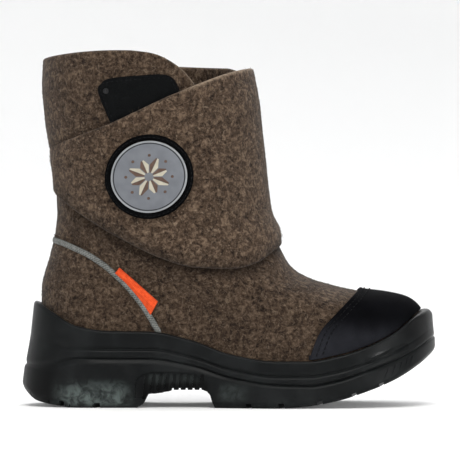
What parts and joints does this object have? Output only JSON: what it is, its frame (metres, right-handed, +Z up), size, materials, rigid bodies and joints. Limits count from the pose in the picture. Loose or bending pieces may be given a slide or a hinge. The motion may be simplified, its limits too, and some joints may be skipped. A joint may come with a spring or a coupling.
{
  "type": "felt winter boot",
  "caption": "Child's felt winter boot for the right foot, with a wrap flap held by hook-and-loop, a rubber toe cap and a moulded rubber sole with lugs.",
  "frame": {"origin": "on the floor, under the middle of the boot", "axes": "+X to the toe, -Y to the outer side of the foot, +Z up"},
  "size_m": [0.2246, 0.1036, 0.1907],
  "materials": {
    "sole_rubber": "satin moulded black rubber",
    "footbed": "grey pressed felt",
    "felt": "mottled brown wool felt",
    "cap_rubber": "satin black rubberised cloth",
    "loop_cloth": "black looped pile",
    "badge": "grey reflective film",
    "reflective": "grey reflective tape",
    "ribbon": "orange woven ribbon"
  },
  "bodies": {
    "root": {"sole": "sole_rubber", "insole": "footbed", "upper": "felt", "closure_flap": "felt", "toe_cap": "cap_rubber", "loop_patch": "loop_cloth", "badge_rim": "sole_rubber", "badge_face": "badge", "piping": "reflective", "side_tag": "ribbon"}
  },
  "joints": []
}
